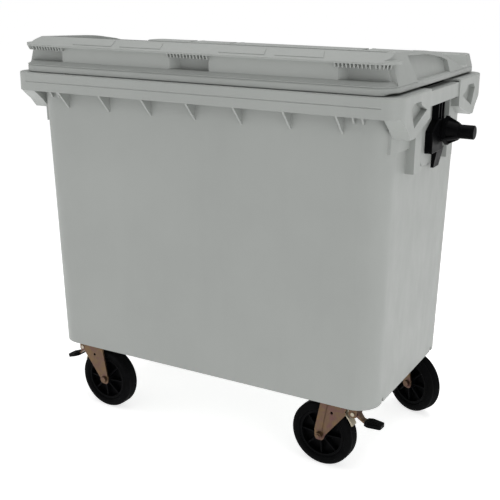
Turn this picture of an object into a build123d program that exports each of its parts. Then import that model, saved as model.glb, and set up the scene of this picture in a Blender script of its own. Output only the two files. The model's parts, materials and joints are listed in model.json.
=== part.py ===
from build123d import *
import math
import os

# Four-wheeled waste container: a moulded tub with side trunnions, a flat lid hinged along the back and
# four swivel castors, the two front ones braked. Millimetres, +Z up, front towards -Y, floor at z = 0.

# ---- tub -------------------------------------------------------------------------------------------
RIM_WIDTH = 1245.0
RIM_DEPTH = 753.0
RIM_TOP = 1115.0
RIM_BAND = 55.0
RIM_RADIUS = 48.0
RIM_WALL = 5.0
BODY_TOP_WIDTH = 1155.0
BODY_TOP_DEPTH = 648.0
BODY_FOOT_WIDTH = 1121.0
BODY_FOOT_DEPTH = 605.0
BODY_RADIUS = 70.0
BODY_BACKSET = -3.5
BODY_WALL = 5.0
FLOOR_THICKNESS = 6.0
SKIRT = 17.0
GUSSET_COUNT = 7
GUSSET_PITCH = 151.0
GUSSET_DROP = 52.0
GUSSET_THICKNESS = 6.0
BAND_LINE_WIDTH = 2.4
BAND_LINE_DEPTH = 1.0
LUG_DROP = 61.0
LUG_TIP_WIDTH = 32.0
LUG_OUTER_Y = 352.0
LUG_TIP_Y = 267.0
LUG_INNER_Y = 130.0
LUG_WALL = 6.0
LUG_SHOULDER_Y = 305.0
LUG_SHOULDER_RISE = 25.0
LUG_INNER_RISE = 38.0
LUG_OPENING = ((286, -14), (270, 0), (214, 0), (202, -12), (162, -27), (257, -64))
LUG_OPENING_DROP = 24.0
LUG_RECESS = 16.0
LUG_REACH = 50.0
SIDE_BAND = 49.0
SIDE_DIP = 8.0
SIDE_INSET = 4.0
COLUMN_PROUD = 22.0
COLUMN_OUTER_Y = 170.0
COLUMN_INNER_Y = 118.0
COLUMN_DROP = 228.0
COLLAR_PROUD = 8.0
COLLAR_OUTER_Y = 290.0
COLLAR_DROP = 157.0
FOOT_SLOT_WIDTH = 12.0
FOOT_SLOT_HEAD = 3.0
FOOT_SLOT_REACH = 14.0
FOOT_SLOT_Y = 215.0
HOOK_X = (486.0, 512.0)
HOOK_DEPTH = 22.0
HOOK_DROP = 22.0

# ---- lid -------------------------------------------------------------------------------------------
LID_SETBACK = 12.0
LID_END_SETBACK = 22.5
LID_GAP = 2.0
LID_WALL = 4.0
LID_FLANGE_HEIGHT = 22.0
LID_RADIUS = 52.0
LID_FLANGE_EDGE = 8.0
LIP_OVERHANG = 1.5
LIP_THICKNESS = 5.0
LID_DRAFT = 24.0
VISOR_DEPTH = 62.0
VISOR_CROWN = 4.0
RISER_SETBACK = 14.0
RISER_SLOPE = 10.0
RECESS_END_Y = 322.0
LIP_RISE = 82.0
CREST_Y = -292.0
CREST_RISE = 102.0
SHOULDER_Y = -60.0
SHOULDER_RISE = 93.0
KNEE_Y = 60.0
KNEE_RISE = 76.0
VALLEY_START_Y = 234.0
VALLEY_END_Y = 272.0
VALLEY_RISE = 25.0
UPSTAND_Y = 294.0
UPSTAND_RISE = 57.0
DISH_BORDER = 52.0
DISH_SHOULDER = 12.0
DISH_KNEE = 8.0
GRIP_HALF_WIDTH = 70.0
SIDE_GRIP_START = 441.0
GRIP_POCKET_DEPTH = 24.0
TOOTH_PITCH = 10.6
TOOTH_THICKNESS = 3.6
TOOTH_DROP = 11.0
TOOTH_DEPTH = 15.0
PANEL_PROUD = 1.6
WINDOW_FRONT_TOP_Y = -218.0
WINDOW_FRONT_FOOT_Y = -178.0
WINDOW_REAR_Y = 98.0
WINDOW_SILL_RISE = 21.0
WINDOW_DEPTH = 14.0
WINDOW_HEAD = 9.0
BUFFER_RADIUS = 9.0
BUFFER_STEM_RADIUS = 3.5

# ---- lid hinge -------------------------------------------------------------------------------------
HINGE_BEHIND_RIM = 13.5
HINGE_RISE = 41.0
HINGE_PIN_RADIUS = 8.0
HINGE_CLEARANCE = 0.08
KNUCKLE_RADIUS = 13.0
EAR_RADIUS = 14.0
EAR_THICKNESS = 12.0
KNUCKLE_END_GAP = 1.5
EAR_X = (250.0, 412.0)
EAR_SLOT_GAP = 2.0
PIN_HEAD_RADIUS = 12.0
PIN_HEAD_THICKNESS = 4.0

# ---- rear handles ----------------------------------------------------------------------------------
HANDLE_X = 331.0
HANDLE_SPAN = 190.0
HANDLE_RADIUS = 13.0
HANDLE_DROP = 87.0
HANDLE_BEHIND_WALL = 46.0
HANDLE_LUG_THICKNESS = 8.0
HANDLE_LUG_MARGIN = 4.0
HANDLE_SPIGOT_RADIUS = 9.0
HANDLE_SCREW_RADIUS = 3.0

# ---- trunnions -------------------------------------------------------------------------------------
TRUNNION_Y = 40.0
TRUNNION_DROP = 135.5
TRUNNION_STAND_OFF = 115.5
TRUNNION_PIN_RADIUS = 20.0
TRUNNION_PIN_LENGTH = 44.0
TRUNNION_PIN_BEVEL = 2.0
TRUNNION_BASE_RADIUS = 34.0
TRUNNION_FLANGE_RADIUS = 42.0
TRUNNION_FLANGE_START = 30.0
TRUNNION_FLANGE_END = 41.0
TRUNNION_CONE_RADIUS = 31.0
TRUNNION_NECK_RADIUS = 23.0
TRUNNION_FIN = 5.0
TRUNNION_FIN_COUNT = 6
TRUNNION_BLOCK_DEPTH = 22.0
TRUNNION_BLOCK_FRONT = -88.0
TRUNNION_BLOCK_REAR = 8.0
TRUNNION_BLOCK_SHOULDER = 6.0
TRUNNION_BLOCK_TOP = 34.0
TRUNNION_BLOCK_FOOT = -57.0
TRUNNION_COLUMN_FRONT = -40.0
TRUNNION_COLUMN_REAR = 14.0
TRUNNION_COLUMN_DEPTH = 20.0
TRUNNION_RIB = 5.0
TRUNNION_TAIL_FRONT = -22.0
TRUNNION_TAIL_REAR = 38.0
TRUNNION_TAIL_TIP_REAR = 26.0
TRUNNION_TAIL_FOOT = -108.0
TRUNNION_TAIL_DEPTH = 8.0
PAD_PROUD = 8.0
PAD_FRONT_Y = -76.0
PAD_REAR_Y = 110.0
PAD_DEPTH = 40.0
PAD_FOOT_DROP = 226.0
PAD_RADIUS = 24.0
TRUNNION_BOLT_RADIUS = 5.0
TRUNNION_BOLT_DEPTH = 12.0
TRUNNION_BOLT_PLACES = ((-68.0, -42.0), (-68.0, -6.0), (-13.0, 52.0), (6.0, -72.0))

# ---- floor drain -----------------------------------------------------------------------------------
DRAIN_Y = -180.0
DRAIN_RADIUS = 26.0
DRAIN_CLEARANCE = 0.4
DRAIN_FLANGE = 36.0
DRAIN_SEAL = 2.0
DRAIN_FLANGE_THICKNESS = 5.0

# ---- castors ---------------------------------------------------------------------------------------
KINGPIN_X = 455.0
KINGPIN_Y = 247.0
TRAIL = 60.0
CASTOR_TURN = {"front_left": -3.0, "front_right": 176.0, "rear_left": 12.0, "rear_right": -24.0}
BRAKED = ("front_left", "front_right")
PEDAL_TRAVEL = 20.0
PEDAL_PRESSED = {"front_left": PEDAL_TRAVEL, "front_right": 0.0}
SHOE_RATIO = 0.24
WHEEL_RADIUS = 100.0
TYRE_WIDTH = 50.0
TYRE_SHOULDER = 12.0
TYRE_BORE = 74.0
RIM_FLANGE = 66.0
HUB_BARREL_RADIUS = 22.0
HUB_LENGTH = 56.0
HUB_WEB = 6.0
HUB_RIBS = 8
BUSH_RADIUS = 11.0
AXLE_RADIUS = 6.0
RUNNING = 0.08
FIT = 0.05
FORK_SHEET = 3.5
CROWN_CLEARANCE = 8.0
LEG_CLEARANCE = 0.5
SWIVEL_HEAD = 21.5
CROWN_RADIUS = 36.0
AXLE_EYE = 17.0
RACE_RADIUS = 40.0
RACE_GAP = 1.0
BALL_COUNT = 16
BALL_RADIUS = 3.0
BALL_CIRCLE = 30.0
KINGPIN_RADIUS = 7.0
PLATE_X = 105.0
PLATE_Y = 85.0
PLATE_THICKNESS = 4.0
PLATE_BOLT_X = 80.0
PLATE_BOLT_Y = 60.0
PLATE_BOLT_RADIUS = 5.0

# ---- brake -----------------------------------------------------------------------------------------
PEDAL_PIVOT_X = -40.0
PEDAL_PIVOT_DROP = 18.0
PEDAL_PIN_RADIUS = 4.0
PEDAL_LEVER_WIDTH = 22.0
PAD_START_X = -70.0
PAD_END_X = -126.0
PAD_DROP = 22.0
PEDAL_PAD_WIDTH = 44.0
PEDAL_PAD_THICKNESS = 12.0
EAR_HALF_WIDTH = 17.0
EAR_SHEET = 3.0
SHOE_PIVOT_X = -24.0
SHOE_PIVOT_DROP = 10.0
SHOE_PIN_RADIUS = 3.0
SHOE_CLEARANCE = 0.7
SHOE_TOE = 23.4
SHOE_NECK = 2.4
SHOE_HEEL = -2.6
SHOE_THICKNESS = 4.0
SHOE_WIDTH = 26.0

EDGE = 1.0
HOLE_ROOM = 0.5

# ---- values worked out from the sizes above ---------------------------------------------------------
LID_WIDTH = RIM_WIDTH - 2 * LID_END_SETBACK
LID_DEPTH = RIM_DEPTH - 2 * LID_SETBACK
LID_BOTTOM = RIM_TOP + LID_GAP
FLANGE_TOP = LID_BOTTOM + LID_FLANGE_HEIGHT
LIP_TOP = RIM_TOP + LIP_RISE
CREST_Z = RIM_TOP + CREST_RISE
SHOULDER_Z = RIM_TOP + SHOULDER_RISE
KNEE_Z = RIM_TOP + KNEE_RISE
VALLEY_Z = RIM_TOP + VALLEY_RISE
UPSTAND_TOP = RIM_TOP + UPSTAND_RISE
WINDOW_SILL = RIM_TOP + WINDOW_SILL_RISE
LIP_UNDERSIDE = LIP_TOP - LIP_THICKNESS
LIP_FRONT = -(LID_DEPTH / 2 + LIP_OVERHANG)
HINGE_Y = RIM_DEPTH / 2 + HINGE_BEHIND_RIM
HINGE_Z = RIM_TOP + HINGE_RISE
REAR_REACH = HINGE_BEHIND_RIM + EAR_RADIUS
FRAME_SHIFT = -REAR_REACH / 2
LEG_INNER = HUB_LENGTH / 2 + LEG_CLEARANCE
FORK_CROWN_UNDERSIDE = 2 * WHEEL_RADIUS + CROWN_CLEARANCE
CROWN_TOP = FORK_CROWN_UNDERSIDE + FORK_SHEET
PLATE_BOTTOM = CROWN_TOP + SWIVEL_HEAD
FLOOR_UNDERSIDE = PLATE_BOTTOM + PLATE_THICKNESS
BODY_FOOT = FLOOR_UNDERSIDE - SKIRT
HANDLE_Z = RIM_TOP - HANDLE_DROP
TRUNNION_Z = RIM_TOP - TRUNNION_DROP
PEDAL_PIVOT_Z = FORK_CROWN_UNDERSIDE - PEDAL_PIVOT_DROP
SHOE_PIVOT_Z = FORK_CROWN_UNDERSIDE - SHOE_PIVOT_DROP
SHOE_ARM = math.hypot(SHOE_PIVOT_X - TRAIL, SHOE_PIVOT_Z - WHEEL_RADIUS)
SHOE_BEARING = math.degrees(math.atan2(SHOE_PIVOT_Z - WHEEL_RADIUS, SHOE_PIVOT_X - TRAIL))
SHOE_SWING = SHOE_ARM * math.radians(SHOE_RATIO * PEDAL_TRAVEL) * math.sin(math.radians(SHOE_TOE))
SHOE_GAP = SHOE_SWING + SHOE_CLEARANCE
PAD_Z = PEDAL_PIVOT_Z - PAD_DROP


# ---- small helpers ---------------------------------------------------------------------------------
def slab(x0, x1, y0, y1, z0, z1):
    return Pos((x0 + x1) / 2, (y0 + y1) / 2, (z0 + z1) / 2) * Box(abs(x1 - x0), abs(y1 - y0), abs(z1 - z0))


def prism_x(outline, x0, x1):
    """A YZ outline drawn out along X."""
    return extrude(Plane.YZ.offset(x0) * outline, x1 - x0, dir=(1, 0, 0))


def prism_y(outline, y0, y1):
    """An XZ outline drawn out along Y."""
    return extrude(Plane.XZ.offset(-y0) * outline, y1 - y0, dir=(0, 1, 0))


def prism_z(outline, z0, z1):
    """An XY outline drawn out along Z."""
    return extrude(Pos(0, 0, z0) * outline, z1 - z0, dir=(0, 0, 1))


def outline(*points):
    return Polygon(*points, align=None)


def rounded_outline(points, radii):
    return make_face(FilletPolyline(*points, radius=radii, close=True).edges())


def rod_x(radius, x0, x1, y, z):
    return Pos((x0 + x1) / 2, y, z) * Rot(0, 90, 0) * Cylinder(radius, abs(x1 - x0))


def rod_y(radius, y0, y1, x, z):
    return Pos(x, (y0 + y1) / 2, z) * Rot(90, 0, 0) * Cylinder(radius, abs(y1 - y0))


def rod_z(radius, z0, z1, x=0.0, y=0.0):
    return Pos(x, y, (z0 + z1) / 2) * Cylinder(radius, abs(z1 - z0))


def hexagon_z(across_flats, z0, z1, x=0.0, y=0.0):
    return Pos(x, y, 0) * prism_z(RegularPolygon(across_flats / 2, 6, major_radius=False), z0, z1)


def both_sides(shape):
    return shape + mirror(shape, Plane.YZ)


def body_width(z):
    return BODY_FOOT_WIDTH + (BODY_TOP_WIDTH - BODY_FOOT_WIDTH) * (z - BODY_FOOT) / (RIM_TOP - BODY_FOOT)


def body_depth(z):
    return BODY_FOOT_DEPTH + (BODY_TOP_DEPTH - BODY_FOOT_DEPTH) * (z - BODY_FOOT) / (RIM_TOP - BODY_FOOT)


def body_block(inset, z0, z1):
    """The tub's tapering body between two heights, drawn in by inset on every side."""
    ends = []
    for z in (z0, z1):
        section = RectangleRounded(body_width(z) - 2 * inset, body_depth(z) - 2 * inset, BODY_RADIUS - inset)
        ends.append(Pos(0, BODY_BACKSET, z) * section)
    return loft(ends, ruled=True)


def rim_block(inset, z0, z1):
    section = RectangleRounded(RIM_WIDTH - 2 * inset, RIM_DEPTH - 2 * inset, RIM_RADIUS - inset)
    return prism_z(section, z0, z1)


# ---- tub -------------------------------------------------------------------------------------------
BAND_BOTTOM = RIM_TOP - RIM_BAND
FLOOR_TOP = FLOOR_UNDERSIDE + FLOOR_THICKNESS
PAD_FACE = body_width(BAND_BOTTOM) / 2 + PAD_PROUD
SIDE_FACE = RIM_WIDTH / 2 - SIDE_INSET
TRUNNION_BLOCK_FACE = PAD_FACE + TRUNNION_BLOCK_DEPTH
TRUNNION_REACH = PAD_FACE + TRUNNION_STAND_OFF
PAD_FOOT = RIM_TOP - PAD_FOOT_DROP
COLUMN_FOOT = RIM_TOP - COLUMN_DROP
COLLAR_FOOT = RIM_TOP - COLLAR_DROP
HANDLE_Y = body_depth(HANDLE_Z) / 2 + BODY_BACKSET + HANDLE_BEHIND_WALL


def rim_shell():
    """The turned-down rim, open underneath, with a fine line moulded round its band."""
    shell = fillet(rim_block(0, BAND_BOTTOM, RIM_TOP).edges().group_by(Axis.Z)[-1], RIM_WALL - EDGE)
    shell -= rim_block(RIM_WALL, BAND_BOTTOM - EDGE, RIM_TOP - RIM_WALL)
    line_z = RIM_TOP - RIM_BAND / 2
    line = rim_block(-EDGE, line_z - BAND_LINE_WIDTH / 2, line_z + BAND_LINE_WIDTH / 2)
    line -= rim_block(BAND_LINE_DEPTH, line_z - BAND_LINE_WIDTH, line_z + BAND_LINE_WIDTH)
    reach = RIM_WIDTH / 2 - RIM_RADIUS
    return shell - (line & slab(-reach, reach, -RIM_DEPTH, RIM_DEPTH, line_z - RIM_WALL, line_z + RIM_WALL))


def gusset(x, front):
    """A triangular web from the underside of the band to the tub wall."""
    sign = -1 if front else 1
    wall = body_depth(BAND_BOTTOM) / 2 + sign * BODY_BACKSET - BODY_WALL / 2
    edge = RIM_DEPTH / 2 - RIM_WALL / 2
    foot = BAND_BOTTOM - GUSSET_DROP
    web = outline(
        (sign * wall, RIM_TOP - RIM_WALL),
        (sign * edge, RIM_TOP - RIM_WALL),
        (sign * edge, BAND_BOTTOM),
        (sign * (wall + BODY_WALL / 2), foot),
        (sign * wall, foot),
    )
    return prism_x(web, x - GUSSET_THICKNESS / 2, x + GUSSET_THICKNESS / 2)


def gusset_places():
    middle = (GUSSET_COUNT - 1) / 2
    return [GUSSET_PITCH * (i - middle) for i in range(GUSSET_COUNT)]


def clear_of_handles(x):
    return abs(abs(x) - HANDLE_X) > HANDLE_SPAN / 2 + 2 * HANDLE_LUG_THICKNESS


def hooks():
    """Two short stacking hooks under the front band at each end."""
    wall = BODY_BACKSET - body_depth(BAND_BOTTOM) / 2 + BODY_WALL / 2
    tip = wall - HOOK_DEPTH
    blade = outline(
        (wall, RIM_TOP - RIM_WALL),
        (tip, RIM_TOP - RIM_WALL),
        (tip, BAND_BOTTOM),
        (wall - HOOK_DEPTH / 3, BAND_BOTTOM - HOOK_DROP),
        (wall, BAND_BOTTOM - HOOK_DROP),
    )
    half = GUSSET_THICKNESS / 2
    webs = [prism_x(blade, x - half, x + half) for x in HOOK_X]
    return webs[0] + webs[1]


def lug_outline(sign, inset):
    """Side view of the V-shaped lug under one corner of the side rim."""
    tip = BAND_BOTTOM - LUG_DROP
    low = BAND_BOTTOM + EDGE
    face = outline(
        (sign * LUG_OUTER_Y, low),
        (sign * LUG_SHOULDER_Y, tip + LUG_SHOULDER_RISE),
        (sign * (LUG_TIP_Y + LUG_TIP_WIDTH / 2), tip),
        (sign * (LUG_TIP_Y - LUG_TIP_WIDTH / 2), tip),
        (sign * LUG_INNER_Y, tip + LUG_INNER_RISE),
        (sign * LUG_INNER_Y, low),
    )
    return offset(face, amount=-inset, kind=Kind.INTERSECTION) if inset else face


def side_lug(sign):
    """Box-shaped lug: its walls reach back to the body behind an outer plate."""
    tip = BAND_BOTTOM - LUG_DROP
    skirt = rim_block(0, tip, BAND_BOTTOM + EDGE)
    return skirt & prism_x(lug_outline(sign, 0), RIM_WIDTH / 2 - LUG_REACH, RIM_WIDTH / 2)


def lug_hollow(sign):
    """Space inside a lug's walls, open to the hollow of the rim above."""
    inner = prism_x(lug_outline(sign, LUG_WALL), body_width(RIM_TOP) / 2, RIM_WIDTH / 2)
    hollow = inner + Pos(0, 0, LUG_WALL + EDGE) * inner
    return hollow & rim_block(LUG_WALL, BAND_BOTTOM - LUG_DROP, RIM_TOP - RIM_WALL)


def lug_recess_outline(sign):
    head = RIM_TOP - LUG_OPENING_DROP
    return outline(*[(sign * y, head + z) for y, z in LUG_OPENING])


def lug_cup(sign):
    """Walls and back of the blind recess behind a lug's arched mouth."""
    face = offset(lug_recess_outline(sign), amount=RIM_WALL, kind=Kind.INTERSECTION)
    back = RIM_WIDTH / 2 - LUG_RECESS
    return prism_x(face, back - RIM_WALL, RIM_WIDTH / 2 - EDGE)


def lug_recess(sign):
    return prism_x(lug_recess_outline(sign), RIM_WIDTH / 2 - LUG_RECESS, RIM_WIDTH / 2 + EDGE)


def side_rim():
    """The plain plate between the lugs, set in a little, with its top dipped for lifting the lid."""
    reach = LUG_INNER_Y + 8
    dip = RIM_TOP - SIDE_DIP
    inner = body_width(RIM_TOP) / 2 - BODY_WALL
    plate = slab(SIDE_FACE - RIM_WALL, SIDE_FACE, -reach, reach, BAND_BOTTOM, dip)
    shelf = slab(inner, SIDE_FACE, -reach, reach, dip - RIM_WALL, dip)
    return plate + shelf


def side_rim_cuts():
    reach = LUG_INNER_Y
    dip = RIM_TOP - SIDE_DIP
    cut = slab(SIDE_FACE, RIM_WIDTH, -reach, reach, BAND_BOTTOM - EDGE, RIM_TOP + EDGE)
    cut += slab(body_width(RIM_TOP) / 2 - 2 * BODY_WALL, RIM_WIDTH, -reach, reach, dip, RIM_TOP + EDGE)
    foot = RIM_TOP - SIDE_BAND
    return cut + slab(body_width(RIM_TOP) / 2 + 2, RIM_WIDTH, -reach, reach, BAND_BOTTOM - 2 * EDGE, foot)


def corner_column(sign):
    """Box-shaped column under a lug, open at its foot, beside a collar that wraps the corner."""
    outer = PAD_FACE - PAD_PROUD + COLUMN_PROUD
    ends = (sign * COLUMN_OUTER_Y, sign * COLUMN_INNER_Y)
    column = slab(outer - 2 * COLUMN_PROUD, outer, *ends, COLUMN_FOOT, RIM_TOP - RIM_WALL)
    wrap = body_block(-COLLAR_PROUD, COLLAR_FOOT, RIM_TOP - RIM_WALL)
    inner = BODY_FOOT_WIDTH / 2 - BODY_RADIUS
    zone = slab(inner, outer, sign * COLUMN_INNER_Y, sign * COLLAR_OUTER_Y, COLLAR_FOOT, RIM_TOP)
    return column + (wrap & zone)


def column_hollow(sign):
    outer = PAD_FACE - PAD_PROUD + COLUMN_PROUD - BODY_WALL
    inner = body_width(COLUMN_FOOT) / 2 + BODY_WALL / 2
    ends = (sign * (COLUMN_OUTER_Y - BODY_WALL), sign * (COLUMN_INNER_Y + BODY_WALL))
    return slab(inner, outer, *ends, COLUMN_FOOT - EDGE, BAND_BOTTOM)


def trunnion_pad():
    """Raised flat pad moulded on the side wall, which the trunnion is bolted to."""
    top = RIM_TOP - RIM_WALL
    corners = [(PAD_FRONT_Y, PAD_FOOT), (PAD_REAR_Y, PAD_FOOT), (PAD_REAR_Y, top), (PAD_FRONT_Y, top)]
    face = rounded_outline(corners, [PAD_RADIUS, PAD_RADIUS, 0, 0])
    return prism_x(face, PAD_FACE - PAD_DEPTH, PAD_FACE)


def hinge_ear(x):
    """Upright ear behind the rim that carries one end of a hinge pin."""
    rear = RIM_DEPTH / 2
    web = outline(
        (rear - RIM_WALL + 1, BAND_BOTTOM + 8),
        (rear, BAND_BOTTOM + 8),
        (HINGE_Y + EAR_RADIUS * 0.97, HINGE_Z - EAR_RADIUS * 0.25),
        (HINGE_Y - EAR_RADIUS * 0.97, HINGE_Z + EAR_RADIUS * 0.25),
        (rear - RIM_WALL + 1, RIM_TOP + 8),
    )
    ear = prism_x(web, x - EAR_THICKNESS / 2, x + EAR_THICKNESS / 2)
    ear += rod_x(EAR_RADIUS, x - EAR_THICKNESS / 2, x + EAR_THICKNESS / 2, HINGE_Y, HINGE_Z)
    bore = HINGE_PIN_RADIUS + FIT
    return ear - rod_x(bore, x - EAR_THICKNESS, x + EAR_THICKNESS, HINGE_Y, HINGE_Z)


def handle_lug(x):
    """Plate under the rear band that holds one end of a handle bar."""
    wall = body_depth(BAND_BOTTOM) / 2 + BODY_BACKSET - BODY_WALL / 2
    boss = HANDLE_RADIUS + HANDLE_LUG_MARGIN
    x0 = x - HANDLE_LUG_THICKNESS / 2
    x1 = x + HANDLE_LUG_THICKNESS / 2
    web = outline(
        (wall - 4, RIM_TOP - RIM_WALL),
        (RIM_DEPTH / 2 - RIM_WALL / 2, RIM_TOP - RIM_WALL),
        (RIM_DEPTH / 2 - RIM_WALL / 2, BAND_BOTTOM),
        (HANDLE_Y + boss, HANDLE_Z),
        (HANDLE_Y, HANDLE_Z - boss),
        (wall - 4, HANDLE_Z - boss - 26),
    )
    lug = prism_x(web, x0, x1) + rod_x(boss, x0, x1, HANDLE_Y, HANDLE_Z)
    return lug - rod_x(HANDLE_SPIGOT_RADIUS + FIT, x0 - EDGE, x1 + EDGE, HANDLE_Y, HANDLE_Z)


def castor_places():
    """Kingpin position of each castor."""
    places = {}
    for name in CASTOR_TURN:
        x = KINGPIN_X if name.endswith("right") else -KINGPIN_X
        y = KINGPIN_Y if name.startswith("rear") else -KINGPIN_Y
        places[name] = (x, y + BODY_BACKSET)
    return places


def plate_corners():
    return [(sx * PLATE_BOLT_X / 2, sy * PLATE_BOLT_Y / 2) for sx in (-1, 1) for sy in (-1, 1)]


def bolt_places():
    """Every bolt of the castor plates."""
    return [(x + dx, y + dy) for x, y in castor_places().values() for dx, dy in plate_corners()]


def trunnion_bolt_places():
    return [(TRUNNION_Y + dy, TRUNNION_Z + dz) for dy, dz in TRUNNION_BOLT_PLACES]


def tub_holes():
    low = BODY_FOOT
    high = FLOOR_TOP + SKIRT
    holes = rod_z(DRAIN_RADIUS + DRAIN_CLEARANCE, low, high, 0, DRAIN_Y)
    for x, y in bolt_places():
        holes += rod_z(PLATE_BOLT_RADIUS + HOLE_ROOM, low, high, x, y)
    for y, z in trunnion_bolt_places():
        start = PAD_FACE - PAD_DEPTH - PAD_PROUD
        holes += both_sides(rod_x(TRUNNION_BOLT_RADIUS + HOLE_ROOM, start, PAD_FACE + EDGE, y, z))
    return holes


def foot_slots():
    """Notches in the skirt, two on each side."""
    middle = BODY_FOOT_WIDTH / 2
    cuts = []
    for sign in (-1, 1):
        y = sign * FOOT_SLOT_Y
        half = FOOT_SLOT_WIDTH / 2
        top = FLOOR_UNDERSIDE - FOOT_SLOT_HEAD
        near, far = middle - FOOT_SLOT_REACH, middle + FOOT_SLOT_REACH
        cuts.append(slab(near, far, y - half, y + half, BODY_FOOT - EDGE, top))
    return both_sides(cuts[0] + cuts[1])


def make_tub():
    solid = body_block(0, BODY_FOOT, RIM_TOP) + rim_shell()
    for x in gusset_places():
        solid += gusset(x, True)
        if clear_of_handles(x):
            solid += gusset(x, False)
    side = side_rim() + trunnion_pad()
    for sign in (-1, 1):
        side += side_lug(sign) + corner_column(sign)
    solid += both_sides(side)
    solid += both_sides(hooks())
    for x in EAR_X:
        solid += both_sides(hinge_ear(x))
    for end in (-1, 1):
        solid += both_sides(handle_lug(HANDLE_X + end * (HANDLE_SPAN + HANDLE_LUG_THICKNESS) / 2))
    solid -= body_block(BODY_WALL, FLOOR_TOP, RIM_TOP + EDGE)
    solid -= body_block(BODY_WALL, BODY_FOOT - EDGE, FLOOR_UNDERSIDE)
    cuts = side_rim_cuts()
    for sign in (-1, 1):
        cuts += lug_hollow(sign) + column_hollow(sign)
    solid -= both_sides(cuts)
    for sign in (-1, 1):
        solid += both_sides(lug_cup(sign))
        solid -= both_sides(lug_recess(sign))
    return solid - tub_holes() - foot_slots()


# ---- lid -------------------------------------------------------------------------------------------
def lid_side_view(grow, dished):
    """The lid's side view from lip to back ridge, offset by grow all round."""
    foot = LID_BOTTOM - RIM_BAND
    points = [
        (LIP_FRONT, foot),
        (LIP_FRONT, LIP_TOP),
        (CREST_Y, CREST_Z),
        (SHOULDER_Y, SHOULDER_Z - (DISH_SHOULDER if dished else 0)),
        (KNEE_Y, KNEE_Z - (DISH_KNEE if dished else 0)),
        (VALLEY_START_Y, VALLEY_Z),
        (VALLEY_END_Y, VALLEY_Z),
        (UPSTAND_Y, UPSTAND_TOP),
        (LID_DEPTH / 2, UPSTAND_TOP),
        (LID_DEPTH / 2, foot),
    ]
    radii = [0, 1.5, 26.0, 500.0, 300.0, 14.0, 8.0, 6.0, 6.0, 0]
    face = rounded_outline(points, radii)
    return offset(face, amount=grow, kind=Kind.INTERSECTION) if grow else face


def lid_plan(inset, z0, z1):
    """The lid's drafted body in plan, drawn in by inset."""
    ends = []
    for z in (z0, z1):
        draft = LID_DRAFT * (z - FLANGE_TOP) / (CREST_Z - FLANGE_TOP)
        width = LID_WIDTH - 2 * (LIP_OVERHANG + draft + inset)
        depth = LID_DEPTH + 2 * (LIP_OVERHANG - inset)
        ends.append(Pos(0, 0, z) * RectangleRounded(width, depth, LID_RADIUS - inset))
    return loft(ends, ruled=True)


def lid_side_bars(grow):
    """The lid's height over its whole width: dished in the middle, with a raised arch at each end."""
    half = LID_WIDTH / 2
    arch = half - DISH_BORDER - grow
    bars = prism_x(lid_side_view(grow, True), -half, half)
    return bars + both_sides(prism_x(lid_side_view(grow, False), arch, half))


def riser_recess(grow):
    """Band under the lip where the front wall stands back, running round both front corners."""
    low = FLANGE_TOP - grow
    high = LIP_UNDERSIDE + 3 * grow
    reach = LID_WIDTH / 2 + EDGE
    zone = slab(-reach, reach, LIP_FRONT - EDGE, grow - RECESS_END_Y, low, high)
    core = lid_plan(RISER_SETBACK + grow, low - EDGE, high + EDGE)
    slope = lid_plan(LIP_OVERHANG + grow, low - EDGE, low + RISER_SLOPE)
    slope &= chamfer_block(grow)
    return zone - core - slope


def chamfer_block(grow):
    """Sloped shoulder at the foot of the riser."""
    low = FLANGE_TOP - grow
    ends = []
    for z, inset in ((low - EDGE, LIP_OVERHANG + grow), (low + RISER_SLOPE, RISER_SETBACK + grow)):
        width = LID_WIDTH - 2 * (LIP_OVERHANG + inset)
        depth = LID_DEPTH - 2 * (inset - LIP_OVERHANG)
        ends.append(Pos(0, 0, z) * RectangleRounded(width, depth, LID_RADIUS - inset))
    return loft(ends, ruled=True)


def grip_pockets(grow):
    """Hand pockets behind the three grips: a middle one with sloped ends and two open at the lid's ends."""
    front = LIP_FRONT + RISER_SETBACK / 2
    back = LIP_FRONT + RISER_SETBACK + GRIP_POCKET_DEPTH
    inner = GRIP_HALF_WIDTH - GRIP_POCKET_DEPTH
    z0 = FLANGE_TOP + RISER_SLOPE - grow
    z1 = LIP_UNDERSIDE + 3 * grow
    middle = outline((-GRIP_HALF_WIDTH, front), (GRIP_HALF_WIDTH, front), (inner, back), (-inner, back))
    end = LID_WIDTH / 2 + EDGE
    side = outline(
        (SIDE_GRIP_START, front),
        (end, front),
        (end, back),
        (SIDE_GRIP_START + GRIP_POCKET_DEPTH, back),
    )
    if grow:
        middle = offset(middle, amount=grow, kind=Kind.INTERSECTION)
        side = offset(side, amount=grow, kind=Kind.INTERSECTION)
    return prism_z(middle, z0, z1) + both_sides(prism_z(side, z0, z1))


def side_window(grow):
    """Arched recess in the lid's end wall, under the overhanging top."""
    frame = outline(
        (WINDOW_FRONT_FOOT_Y - grow, WINDOW_SILL - grow),
        (WINDOW_FRONT_TOP_Y - grow, CREST_Z),
        (WINDOW_REAR_Y + grow, CREST_Z),
        (WINDOW_REAR_Y + grow, WINDOW_SILL - grow),
    )
    window = prism_x(lid_side_view(grow - WINDOW_HEAD, False) & frame, 0, LID_WIDTH / 2 + EDGE)
    return window - lid_plan(WINDOW_DEPTH + grow, WINDOW_SILL - grow - EDGE, CREST_Z + EDGE)


def visor():
    """Flat lip that keeps the lid's full width where the end walls lean in."""
    plan = RectangleRounded(LID_WIDTH - 2 * LIP_OVERHANG, LID_DEPTH + 2 * LIP_OVERHANG, LID_RADIUS)
    zone = prism_z(plan, LIP_UNDERSIDE, LIP_TOP + VISOR_CROWN)
    reach = LID_WIDTH / 2
    zone &= slab(-reach, reach, LIP_FRONT, LIP_FRONT + VISOR_DEPTH, LIP_UNDERSIDE, CREST_Z)
    return zone & lid_side_bars(0)


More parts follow.
